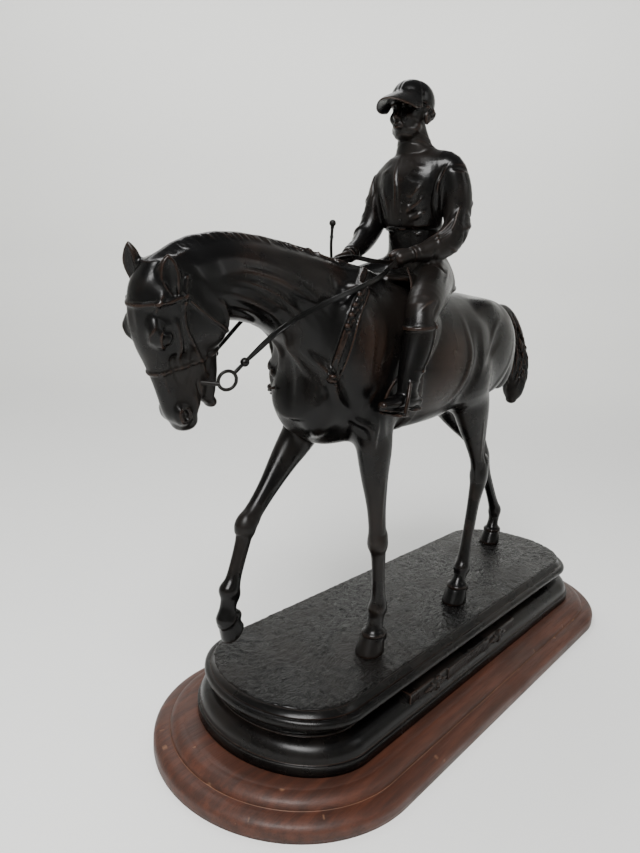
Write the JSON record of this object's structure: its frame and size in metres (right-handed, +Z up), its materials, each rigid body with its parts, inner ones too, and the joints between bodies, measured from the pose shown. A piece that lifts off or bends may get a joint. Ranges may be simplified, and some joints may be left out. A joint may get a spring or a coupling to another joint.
{
  "type": "equestrian statuette",
  "caption": "Dark bronze jockey on a walking racehorse, on a moulded turf-topped base and a stepped wooden plinth, for standing on a shelf or table.",
  "frame": {"origin": "middle of the plinth's flat underside", "axes": "-X is the way the horse faces, +X towards its tail, -Y its left side, +Z up"},
  "size_m": [0.5334, 0.197, 0.4555],
  "materials": {
    "plinth_wood": "polished reddish hardwood, worn on its edges",
    "base_bronze": "near-black brown patina, waxed, rubbed warmer on its high edges",
    "figure_bronze": "near-black brown patina, glossy wax, rubbed reddish on flank and shoulder",
    "rein_bronze": "dark patina, satin"
  },
  "bodies": {
    "root": {"wooden_plinth": "plinth_wood", "cast_base": "base_bronze", "horse_and_rider": "figure_bronze", "left_rein": "rein_bronze", "right_rein": "rein_bronze", "whip": "rein_bronze"}
  },
  "joints": []
}
